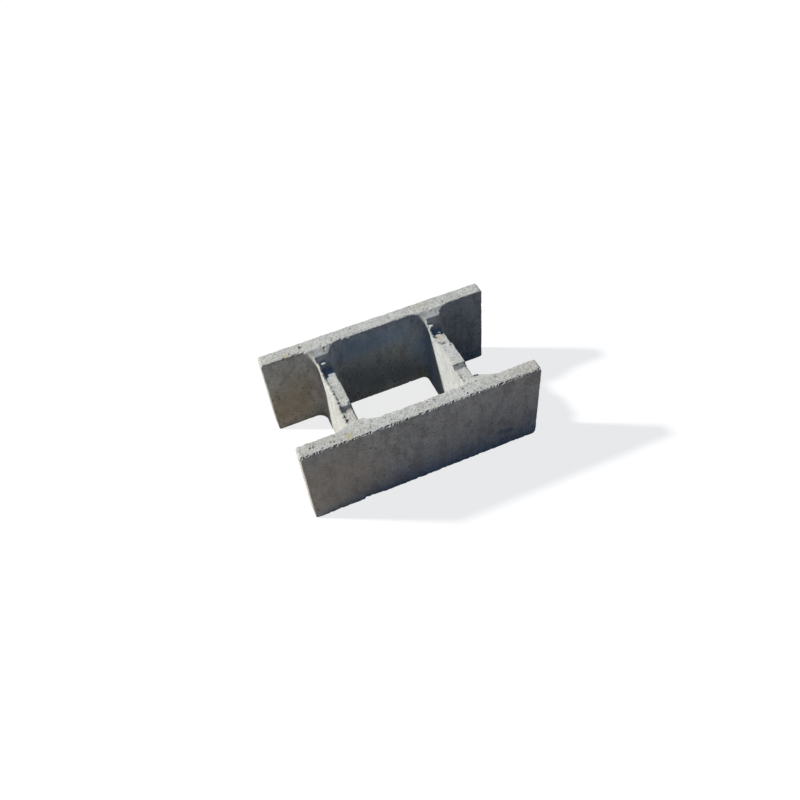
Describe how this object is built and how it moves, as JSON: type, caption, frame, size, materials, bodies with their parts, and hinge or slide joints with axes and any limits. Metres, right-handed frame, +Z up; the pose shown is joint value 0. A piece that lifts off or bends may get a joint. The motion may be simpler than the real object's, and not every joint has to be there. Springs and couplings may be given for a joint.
{
  "type": "concrete formwork block",
  "caption": "Concrete formwork block: long face shells joined by lowered, notched webs, leaving open cells for reinforcing bars and poured concrete.",
  "frame": {"origin": "middle of the underside, on the bed joint", "axes": "+X along the course, +Y across the wall from one face shell to the other, +Z up"},
  "size_m": [0.5, 0.288, 0.2],
  "materials": {
    "concrete": "dry-cast, unpainted, sandy and pitted"
  },
  "bodies": {
    "root": {"formwork_block": "concrete"}
  },
  "joints": []
}
